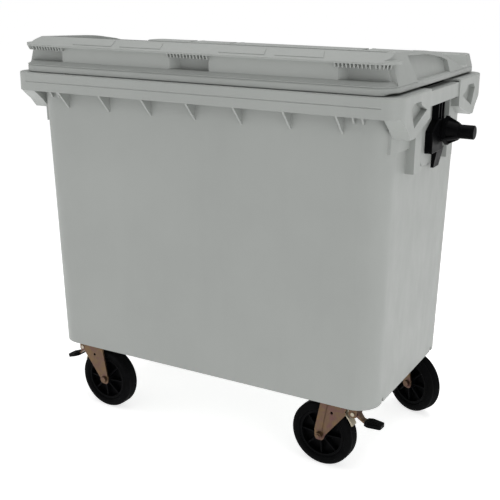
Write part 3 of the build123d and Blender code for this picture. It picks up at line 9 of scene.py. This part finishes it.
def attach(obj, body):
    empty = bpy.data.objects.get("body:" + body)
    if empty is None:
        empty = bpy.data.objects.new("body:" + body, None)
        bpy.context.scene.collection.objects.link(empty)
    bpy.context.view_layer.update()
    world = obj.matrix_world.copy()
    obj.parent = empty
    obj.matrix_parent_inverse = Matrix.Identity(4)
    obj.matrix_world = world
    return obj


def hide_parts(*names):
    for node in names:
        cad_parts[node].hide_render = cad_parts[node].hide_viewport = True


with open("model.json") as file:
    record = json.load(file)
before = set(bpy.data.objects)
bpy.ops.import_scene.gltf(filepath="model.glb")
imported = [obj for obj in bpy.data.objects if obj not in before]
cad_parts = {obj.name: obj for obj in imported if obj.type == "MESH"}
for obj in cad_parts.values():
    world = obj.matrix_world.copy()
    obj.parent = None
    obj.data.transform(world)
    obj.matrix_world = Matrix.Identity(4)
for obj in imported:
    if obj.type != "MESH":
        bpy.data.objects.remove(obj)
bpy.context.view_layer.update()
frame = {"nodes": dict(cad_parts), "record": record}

bl_info = {
    "name": "Waste container",
    "version": (1, 0, 0),
    "blender": (4, 5, 0),
    "location": "View3D > Sidebar > Container",
    "description": "Finishes and detailed pieces for a four-wheeled waste container",
    "category": "Object",
}

NODES = frame["nodes"]
CASTORS = ("front_left", "front_right", "rear_left", "rear_right")
MM = 0.001
FLOOR_RADIUS = 150.0
FLOOR_COLOUR = (0.80, 0.80, 0.80)
FLOOR_GLOW = 0.68
LAMPS = (
    ("overhead", (0.0, 0.3, 4.2), (0.0, 0.0, 0.9), (4.5, 3.5)),
    ("right", (4.2, -2.2, 2.0), (0.2, 0.0, 0.7), (2.4, 2.4)),
    ("left", (-4.4, -2.4, 2.2), (-0.2, 0.0, 0.7), (2.4, 2.4)),
)
BRIGHT_STEEL = (0.75, 0.75, 0.76)
BUSH_GREY = (0.24, 0.24, 0.235)
BEVEL_SAMPLES = 6
MERGE_DISTANCE = 0.01 * MM
WALL_INSET = 1.3 * MM
WALL_PROUD = 0.5 * MM
WALL_RING_PITCH = 2.7 * MM
WALL_RING_WIDTH = 1.8 * MM
BEAD_DEPTH = 5 * MM
BEAD_EDGE = 2.2 * MM
BEAD_WIDTH = 2.5 * MM
FIRST_RING = 4 * MM
RING_END_GAP = 2 * MM
SHOULDER_FACETS = 6
SHOULDER_STEP = math.radians(12)
GROOVE_PLACES = (0.86, 0.43, 0.0, -0.43, -0.86)
GROOVE_DEPTH = 1.4 * MM
GROOVE_MOUTH = 1.3 * MM
GROOVE_FOOT = 0.8 * MM
CROWN = 0.5 * MM
RIM_RING_GAP = 0.4 * MM
RIM_RING_SEAT = 5.2 * MM
RIM_RING_EDGE = 0.6 * MM
RIM_RING_RISE = (1.3 * MM, 1.5 * MM, 0.8 * MM)


# ---- sizes and colours a user may change -----------------------------------------------------------
class ContainerColours(bpy.types.PropertyGroup):
    """Colours of the container's finishes."""

    body: bpy.props.FloatVectorProperty(
        name="Container grey", description="Moulded plastic of tub, lid and handles",
        default=(0.345, 0.360, 0.345), subtype="COLOR", size=3, min=0, max=1)
    black: bpy.props.FloatVectorProperty(
        name="Black plastic", description="Trunnions, wheel centres and pedals",
        default=(0.0022, 0.0023, 0.0026), subtype="COLOR", size=3, min=0, max=1)
    zinc: bpy.props.FloatVectorProperty(
        name="Yellow zinc", description="Passivated steel of the castor forks",
        default=(0.135, 0.085, 0.055), subtype="COLOR", size=3, min=0, max=1)
    steel: bpy.props.FloatVectorProperty(
        name="Bright zinc", description="Bolts, nuts and pins",
        default=(0.42, 0.38, 0.30), subtype="COLOR", size=3, min=0, max=1)
    rubber: bpy.props.FloatVectorProperty(
        name="Tyre rubber", description="Solid rubber tyres and buffers",
        default=(0.0022, 0.0023, 0.0025), subtype="COLOR", size=3, min=0, max=1)


class WheelSizes(bpy.types.PropertyGroup):
    """Sizes of the tyres and rings."""

    radius: bpy.props.FloatProperty(
        name="Tyre radius", description="Wheel centre to tread", default=0.100, unit="LENGTH")
    tyre_width: bpy.props.FloatProperty(
        name="Tyre width", description="Wall to wall", default=0.050, unit="LENGTH")
    bore: bpy.props.FloatProperty(
        name="Tyre bore", description="Radius where the tyre sits on its centre",
        default=0.074, unit="LENGTH")
    shoulder: bpy.props.FloatProperty(
        name="Shoulder", description="Rounding from wall to tread", default=0.012, unit="LENGTH")
    ring_width: bpy.props.FloatProperty(
        name="Ring width", description="Raised edge of the wheel centre", default=0.0024, unit="LENGTH")
    steps: bpy.props.IntProperty(
        name="Steps", description="Facets round a wheel", default=120, min=24, max=256)


class StageSizes(bpy.types.PropertyGroup):
    """Camera and lights."""

    camera_place: bpy.props.FloatVectorProperty(
        name="Camera", description="Where the camera stands",
        default=(1.3803, -2.50425, 1.4066), subtype="TRANSLATION", unit="LENGTH", size=3)
    camera_yaw: bpy.props.FloatProperty(
        name="Camera yaw", description="Turn about the vertical",
        default=0.5058, subtype="ANGLE", unit="ROTATION")
    camera_pitch: bpy.props.FloatProperty(
        name="Camera pitch", description="Tilt below the horizon",
        default=-0.296, subtype="ANGLE", unit="ROTATION")
    camera_roll: bpy.props.FloatProperty(
        name="Camera roll", description="Turn about the line of sight",
        default=0.0056, subtype="ANGLE", unit="ROTATION")
    focal_length: bpy.props.FloatProperty(
        name="Focal length", description="Lens in millimetres on a 36 mm sensor",
        default=65.46, min=10, max=300)
    overhead_power: bpy.props.FloatProperty(
        name="Overhead lamp", description="Power of the soft box above", default=88.0, min=0, unit="POWER")
    right_power: bpy.props.FloatProperty(
        name="Right lamp", description="Power of the soft box on the right",
        default=34.0, min=0, unit="POWER")
    left_power: bpy.props.FloatProperty(
        name="Left lamp", description="Power of the soft box on the left",
        default=30.0, min=0, unit="POWER")
    sky_strength: bpy.props.FloatProperty(
        name="Sky", description="Strength of the even light from all round", default=0.40, min=0, max=5)


# ---- material helpers ------------------------------------------------------------------------------
class Finish:
    """A node material being built: links, textures and the shader's sockets."""

    def __init__(self, name, colour, roughness, metallic=0.0, bevel=0.0, specular=0.5):
        self.material = bpy.data.materials.new(name + "_finish")
        self.material.use_nodes = True
        self.material.diffuse_color = (*colour, 1.0)
        self.tree = self.material.node_tree
        self.tree.nodes.clear()
        self.shader = self.node("ShaderNodeBsdfPrincipled")
        out = self.node("ShaderNodeOutputMaterial")
        self.link(self.shader.outputs["BSDF"], out.inputs["Surface"])
        self.shader.inputs["Base Color"].default_value = (*colour, 1.0)
        self.shader.inputs["Roughness"].default_value = roughness
        self.shader.inputs["Metallic"].default_value = metallic
        self.shader.inputs["Specular IOR Level"].default_value = specular
        self.object = self.node("ShaderNodeTexCoord").outputs["Object"]
        self.normal = None
        if bevel:
            rounded = self.node("ShaderNodeBevel")
            rounded.samples = BEVEL_SAMPLES
            rounded.inputs["Radius"].default_value = bevel
            self.normal = rounded.outputs["Normal"]
            self.link(self.normal, self.shader.inputs["Normal"])

    def node(self, kind):
        """A new shader node of this kind."""
        return self.tree.nodes.new(kind)

    def link(self, a, b):
        self.tree.links.new(a, b)

    def mapped(self, scale=(1, 1, 1), rotation=(0, 0, 0), location=(0, 0, 0)):
        mapping = self.node("ShaderNodeMapping")
        mapping.inputs["Scale"].default_value = scale
        mapping.inputs["Rotation"].default_value = rotation
        mapping.inputs["Location"].default_value = location
        self.link(self.object, mapping.inputs["Vector"])
        return mapping.outputs["Vector"]

    def noise(self, scale, detail=3.0, roughness=0.5, vector=None, distortion=0.0):
        noise = self.node("ShaderNodeTexNoise")
        noise.inputs["Scale"].default_value = scale
        noise.inputs["Detail"].default_value = detail
        noise.inputs["Roughness"].default_value = roughness
        noise.inputs["Distortion"].default_value = distortion
        self.link(vector or self.object, noise.inputs["Vector"])
        return noise.outputs["Fac"]

    def ramp(self, value, *stops):
        ramp = self.node("ShaderNodeValToRGB")
        points = ramp.color_ramp.elements
        while len(points) < len(stops):
            points.new(0.5)
        for point, (place, colour) in zip(points, stops):
            point.position = place
            point.color = (*colour, 1.0) if isinstance(colour, tuple) else (colour, colour, colour, 1.0)
        self.link(value, ramp.inputs["Fac"])
        return ramp.outputs["Color"]

    def between(self, value, low, high, start=0.0, end=1.0):
        """Value from start to end, mapped to low to high."""
        map_range = self.node("ShaderNodeMapRange")
        for key, number in (("From Min", start), ("From Max", end), ("To Min", low), ("To Max", high)):
            map_range.inputs[key].default_value = number
        self.link(value, map_range.inputs["Value"])
        return map_range.outputs["Result"]

    def sum(self, a, b, operation="ADD"):
        math_node = self.node("ShaderNodeMath")
        math_node.operation = operation
        for socket, value in zip(math_node.inputs, (a, b)):
            if isinstance(value, (int, float)):
                socket.default_value = value
            else:
                self.link(value, socket)
        return math_node.outputs["Value"]

    def mix(self, factor, a, b, blend="MIX"):
        mix = self.node("ShaderNodeMix")
        mix.data_type = "RGBA"
        mix.blend_type = blend
        for key, value in (("Factor", factor), ("A", a), ("B", b)):
            kind = "VALUE" if key == "Factor" else "RGBA"
            socket = next(s for s in mix.inputs if s.name == key and s.type == kind)
            if isinstance(value, (int, float)):
                socket.default_value = value
            elif isinstance(value, tuple):
                socket.default_value = (*value, 1.0)
            else:
                self.link(value, socket)
        return next(s for s in mix.outputs if s.type == "RGBA")

    def colour(self, value):
        self.link(value, self.shader.inputs["Base Color"])

    def roughness(self, value):
        self.link(value, self.shader.inputs["Roughness"])

    def bump(self, height, depth, strength=1.0):
        bump = self.node("ShaderNodeBump")
        bump.inputs["Strength"].default_value = strength
        bump.inputs["Distance"].default_value = depth
        self.link(height, bump.inputs["Height"])
        if self.normal is not None:
            self.link(self.normal, bump.inputs["Normal"])
        self.normal = bump.outputs["Normal"]
        self.link(self.normal, self.shader.inputs["Normal"])

    def edge_mask(self, radius):
        """About 1 along sharp edges and 0 on flats."""
        rounded = self.node("ShaderNodeBevel")
        rounded.samples = BEVEL_SAMPLES
        rounded.inputs["Radius"].default_value = radius
        geometry = self.node("ShaderNodeNewGeometry")
        dot = self.node("ShaderNodeVectorMath")
        dot.operation = "DOT_PRODUCT"
        self.link(rounded.outputs["Normal"], dot.inputs[0])
        self.link(geometry.outputs["Normal"], dot.inputs[1])
        return self.between(dot.outputs["Value"], 1.0, 0.0, 0.80, 0.995)


def shade(colour, factor):
    return tuple(min(1.0, channel * factor) for channel in colour)


def container_finish(colour):
    """Grey moulded plastic: fine grain, faint flow clouds, handling marks and paler worn edges."""
    finish = Finish("container_plastic", colour, 0.45, bevel=2.0 * MM, specular=0.42)
    clouds = finish.noise(2.4, 4.0, 0.55)
    tint = finish.ramp(clouds, (0.30, shade(colour, 0.955)), (0.70, shade(colour, 1.035)))
    streaks = finish.noise(9.0, 5.0, 0.6, finish.mapped((1.0, 1.0, 0.12)))
    tint = finish.mix(finish.between(streaks, 0.0, 0.16, 0.52, 0.80), tint, shade(colour, 0.80))
    worn = finish.sum(finish.edge_mask(1.6 * MM), finish.noise(60.0, 3.0), "MULTIPLY")
    tint = finish.mix(finish.between(worn, 0.0, 0.35, 0.25, 0.60), tint, shade(colour, 1.28))
    finish.colour(tint)
    marks = finish.noise(26.0, 6.0, 0.65, finish.mapped((1.0, 1.0, 0.35)))
    finish.roughness(finish.between(marks, 0.36, 0.54, 0.30, 0.72))
    finish.bump(finish.noise(5.0, 2.0), 1.6 * MM, 0.10)
    finish.bump(finish.noise(900.0, 2.0, 0.7), 0.10 * MM, 0.35)
    return finish.material


def black_plastic_finish(name, colour, roughness):
    """Satin black moulding with a fine grain and grey rubbed edges."""
    finish = Finish(name, colour, roughness, bevel=0.8 * MM, specular=0.03)
    dust = finish.noise(30.0, 5.0, 0.6)
    tint = finish.ramp(dust, (0.35, colour), (0.78, shade(colour, 1.9)))
    worn = finish.sum(finish.edge_mask(1.0 * MM), finish.noise(140.0, 3.0), "MULTIPLY")
    tint = finish.mix(finish.between(worn, 0.0, 0.45, 0.25, 0.60), tint, shade(colour, 7.0))
    finish.colour(tint)
    finish.roughness(finish.between(dust, roughness - 0.08, roughness + 0.12, 0.3, 0.7))
    finish.bump(finish.noise(1400.0, 2.0, 0.6), 0.08 * MM, 0.35)
    return finish.material


def zinc_finish(name, colour, roughness, rainbow):
    """Passivated zinc plate: cloudy patches that run from straw to rose, with a fine roll grain."""
    finish = Finish(name, colour, roughness, metallic=0.85, bevel=0.7 * MM)
    clouds = finish.noise(34.0, 4.0, 0.6, distortion=0.6)
    rose = (colour[0] * 1.05, colour[1] * (1 - 0.25 * rainbow), colour[2] * (1 + 0.35 * rainbow))
    straw = (colour[0] * 1.15, colour[1] * 1.12, colour[2] * (1 - 0.25 * rainbow))
    tint = finish.ramp(clouds, (0.30, straw), (0.52, colour), (0.72, rose))
    grain = finish.noise(420.0, 3.0, 0.7, finish.mapped((1.0, 1.0, 0.08)))
    tint = finish.mix(finish.between(grain, 0.0, 0.35, 0.45, 0.75), tint, shade(colour, 0.55))
    worn = finish.sum(finish.edge_mask(0.8 * MM), finish.noise(240.0, 3.0), "MULTIPLY")
    tint = finish.mix(finish.between(worn, 0.0, 0.6, 0.25, 0.6), tint, shade(colour, 1.7))
    finish.colour(tint)
    finish.roughness(finish.between(clouds, roughness - 0.08, roughness + 0.12, 0.3, 0.7))
    finish.bump(grain, 0.05 * MM, 0.4)
    return finish.material


def rubber_finish(name, colour, roughness):
    """Solid rubber: dull, dusty in places, with a slightly pitted skin."""
    finish = Finish(name, colour, roughness, bevel=0.6 * MM, specular=0.03)
    dust = finish.noise(24.0, 6.0, 0.65)
    finish.colour(finish.ramp(dust, (0.40, colour), (0.80, shade(colour, 3.0))))
    finish.roughness(finish.between(dust, roughness - 0.07, roughness + 0.15, 0.3, 0.75))
    finish.bump(finish.noise(700.0, 3.0, 0.7), 0.12 * MM, 0.4)
    return finish.material


def make_finishes():
    """Every finish of the container, made once and kept by name."""
    if "container_plastic_finish" in bpy.data.materials:
        return
    colours = bpy.context.scene.container_colours
    black = tuple(colours.black)
    container_finish(tuple(colours.body))
    black_plastic_finish("trunnion_plastic", black, 0.34)
    black_plastic_finish("black_plastic", black, 0.40)
    zinc_finish("yellow_steel", tuple(colours.zinc), 0.40, 1.0)
    zinc_finish("bolt_steel", tuple(colours.steel), 0.33, 0.2)
    zinc_finish("bright_steel", BRIGHT_STEEL, 0.22, 0.0)
    rubber_finish("tyre_rubber", tuple(colours.rubber), 0.62)
    rubber_finish("rubber_black", shade(tuple(colours.rubber), 1.2), 0.70)
    black_plastic_finish("bush_plastic", BUSH_GREY, 0.42)


def finish_node(node, finish):
    """Gives a CAD node its finish."""
    make_finishes()
    mesh = NODES[node].data
    mesh.materials.clear()
    mesh.materials.append(bpy.data.materials[finish + "_finish"])


def record_slot(node):
    for part in frame["record"]["subparts"]:
        if part["node"] == node:
            return part["material_slot"]
    raise RuntimeError("no slot recorded for " + node)


def new_piece(name, bm, finish, body, replaced=()):
    """Makes an object of a finished bmesh, which rides on a body and may stand for CAD nodes."""
    bmesh.ops.remove_doubles(bm, verts=bm.verts, dist=MERGE_DISTANCE)
    bmesh.ops.recalc_face_normals(bm, faces=bm.faces)
    mesh = bpy.data.meshes.new(name)
    bm.to_mesh(mesh)
    bm.free()
    mesh.polygons.foreach_set("use_smooth", [True] * len(mesh.polygons))
    make_finishes()
    mesh.materials.append(bpy.data.materials[finish + "_finish"])
    piece = bpy.data.objects.new(name, mesh)
    bpy.context.scene.collection.objects.link(piece)
    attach(piece, body)
    if replaced:
        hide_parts(*replaced)
    return piece


def joint_line(name):
    """A recorded joint's place and direction."""
    for joint in frame["record"]["behaviour"]["joints"]:
        if joint["name"] == name:
            return Vector(joint["pos_m"]), Vector(joint["axis"]).normalized()
    raise RuntimeError("no joint named " + name)


def spin_ring(bm, points, centre, axis, steps):
    """Turns a closed outline of (radius, offset along the axis) full round the axis."""
    out = axis.orthogonal().normalized()
    corners = [bm.verts.new(centre + out * radius + axis * along) for radius, along in points]
    edges = [bm.edges.new((a, b)) for a, b in zip(corners, corners[1:] + corners[:1])]
    bmesh.ops.spin(
        bm, geom=corners + edges, cent=centre, axis=axis, angle=math.tau, steps=steps, use_merge=True)


# ---- operators -------------------------------------------------------------------------------------
class CONTAINER_OT_finishes(bpy.types.Operator):
    """Gives every CAD node the finish of its recorded slot."""

    bl_idname = "container.finishes"
    bl_label = "Finishes"

    def execute(self, context):
        for node in NODES:
            finish_node(node, record_slot(node))
        return {"FINISHED"}


class CONTAINER_OT_tyres(bpy.types.Operator):
    """Solid rubber tyres with fine rings on their walls and grooves round the tread."""

    bl_idname = "container.tyres"
    bl_label = "Tyres"

    def execute(self, context):
        sizes = context.scene.container_wheels
        half = sizes.tyre_width / 2
        outline = self.wall(sizes, half) + self.tread(sizes, half)
        lower = [(radius, -along) for radius, along in reversed(self.wall(sizes, half))]
        for name in CASTORS:
            centre, axis = joint_line(name + "_wheel_spin")
            bm = bmesh.new()
            spin_ring(bm, outline + lower, centre, axis, sizes.steps)
            new_piece("tyre_detail_" + name, bm, "tyre_rubber", name + "_wheel", ("tyre_" + name,))
        return {"FINISHED"}

    def wall(self, sizes, half):
        """Side wall from the bore out to the shoulder, with its rings."""
        points = [(sizes.bore, half - BEAD_DEPTH), (sizes.bore + BEAD_WIDTH, half - BEAD_EDGE)]
        radius = sizes.bore + FIRST_RING
        inner = sizes.radius - sizes.shoulder
        low, high = half - WALL_INSET, half - WALL_PROUD
        while radius < inner - RING_END_GAP:
            far = radius + WALL_RING_WIDTH
            points += [(radius, low), (radius + WALL_PROUD, high), (far - WALL_PROUD, high), (far, low)]
            radius += WALL_RING_PITCH
        rounding = sizes.shoulder - WALL_PROUD
        for i in range(1, SHOULDER_FACETS + 1):
            angle = SHOULDER_STEP * i
            points.append((inner + sizes.shoulder * math.sin(angle),
                           half - sizes.shoulder + rounding * math.cos(angle)))
        return points

    def tread(self, sizes, half):
        """Tread from shoulder to shoulder, crowned a little, with its grooves."""
        points = []
        start = half - sizes.shoulder - WALL_PROUD
        for place in GROOVE_PLACES:
            along = start * place
            top = sizes.radius - CROWN * place ** 2
            foot = top - GROOVE_DEPTH
            points += [(top, along + GROOVE_MOUTH), (foot, along + GROOVE_FOOT),
                       (foot, along - GROOVE_FOOT), (top, along - GROOVE_MOUTH)]
        return points


class CONTAINER_OT_rim_rings(bpy.types.Operator):
    """Thin raised edge of the wheel centre, seen between tyre and web on both sides."""

    bl_idname = "container.rim_rings"
    bl_label = "Rim rings"

    def execute(self, context):
        sizes = context.scene.container_wheels
        outer = sizes.bore - RIM_RING_GAP
        inner = outer - sizes.ring_width
        near = sizes.tyre_width / 2 - RIM_RING_SEAT
        first, top, last = RIM_RING_RISE
        for name in CASTORS:
            centre, axis = joint_line(name + "_wheel_spin")
            for side, sign in (("a", 1), ("b", -1)):
                ring = [(inner, near), (inner + RIM_RING_EDGE, near + first),
                        (outer - RIM_RING_EDGE, near + top), (outer, near + last), (outer, near)]
                bm = bmesh.new()
                spin_ring(bm, [(radius, sign * along) for radius, along in ring], centre, axis, sizes.steps)
                new_piece("rim_ring_" + name + "_" + side, bm, "black_plastic", name + "_wheel")
        return {"FINISHED"}


class CONTAINER_OT_stage(bpy.types.Operator):
    """Floor, soft lights and camera."""

    bl_idname = "container.stage"
    bl_label = "Stage"

    def execute(self, context):
        self.floor()
        self.world(context.scene)
        for lamp in LAMPS:
            self.lamp(*lamp, getattr(context.scene.container_stage, lamp[0] + "_power"))
        self.camera(context.scene)
        context.scene.view_settings.view_transform = "Standard"
        return {"FINISHED"}

    def floor(self):
        bm = bmesh.new()
        bmesh.ops.create_circle(bm, cap_ends=True, segments=96, radius=FLOOR_RADIUS)
        mesh = bpy.data.meshes.new("floor")
        bm.to_mesh(mesh)
        bm.free()
        floor = bpy.data.objects.new("floor", mesh)
        bpy.context.scene.collection.objects.link(floor)
        finish = Finish("floor_paper", FLOOR_COLOUR, 0.9)
        finish.colour(finish.ramp(finish.noise(1.3), (0.3, FLOOR_COLOUR), (0.7, shade(FLOOR_COLOUR, 1.01))))
        glow = finish.shader.inputs
        glow["Emission Color"].default_value = (1.0, 1.0, 1.0, 1.0)
        glow["Emission Strength"].default_value = FLOOR_GLOW
        glow["Specular IOR Level"].default_value = 0.0
        mesh.materials.append(finish.material)

    def world(self, scene):
        world = bpy.data.worlds.new("studio")
        world.use_nodes = True
        tree = world.node_tree
        sky = tree.nodes["Background"]
        sky.inputs["Color"].default_value = (1.0, 1.0, 1.0, 1.0)
        sky.inputs["Strength"].default_value = scene.container_stage.sky_strength
        scene.world = world

    def lamp(self, name, place, target, size, power):
        light = bpy.data.lights.new(name, "AREA")
        light.shape = "RECTANGLE"
        light.size, light.size_y = size
        light.energy = power
        lamp = bpy.data.objects.new(name, light)
        lamp.location = place
        aim = Vector(target) - Vector(place)
        lamp.rotation_euler = aim.to_track_quat("-Z", "Y").to_euler()
        bpy.context.scene.collection.objects.link(lamp)

    def camera(self, scene):
        sizes = scene.container_stage
        data = bpy.data.cameras.new("camera")
        data.lens = sizes.focal_length
        camera = bpy.data.objects.new("camera", data)
        turn = Matrix.Rotation(sizes.camera_yaw, 4, "Z")
        turn = turn @ Matrix.Rotation(math.pi / 2 + sizes.camera_pitch, 4, "X")
        turn = turn @ Matrix.Rotation(sizes.camera_roll, 4, "Z")
        camera.matrix_world = Matrix.Translation(Vector(sizes.camera_place)) @ turn
        scene.collection.objects.link(camera)
        scene.camera = camera


class CONTAINER_PT_panel(bpy.types.Panel):
    """Lists the container's sizes, colours and pieces."""

    bl_idname = "CONTAINER_PT_panel"
    bl_label = "Waste container"
    bl_space_type = "VIEW_3D"
    bl_region_type = "UI"
    bl_category = "Container"

    def draw(self, context):
        for name, group in GROUPS.items():
            for key in group.__annotations__:
                self.layout.prop(getattr(context.scene, name), key)
        for operator in OPERATORS:
            self.layout.operator(operator.bl_idname)


OPERATORS = (CONTAINER_OT_finishes, CONTAINER_OT_tyres, CONTAINER_OT_rim_rings, CONTAINER_OT_stage)
GROUPS = {
    "container_colours": ContainerColours,
    "container_wheels": WheelSizes,
    "container_stage": StageSizes,
}


def register():
    for name, group in GROUPS.items():
        bpy.utils.register_class(group)
        setattr(bpy.types.Scene, name, bpy.props.PointerProperty(type=group))
    for operator in OPERATORS:
        bpy.utils.register_class(operator)
    bpy.utils.register_class(CONTAINER_PT_panel)


def unregister():
    bpy.utils.unregister_class(CONTAINER_PT_panel)
    for operator in reversed(OPERATORS):
        bpy.utils.unregister_class(operator)
    for name, group in GROUPS.items():
        delattr(bpy.types.Scene, name)
        bpy.utils.unregister_class(group)


def main():
    register()
    bpy.ops.container.finishes()
    bpy.ops.container.tyres()
    bpy.ops.container.rim_rings()
    bpy.ops.container.stage()


if __name__ == "__main__":
    main()
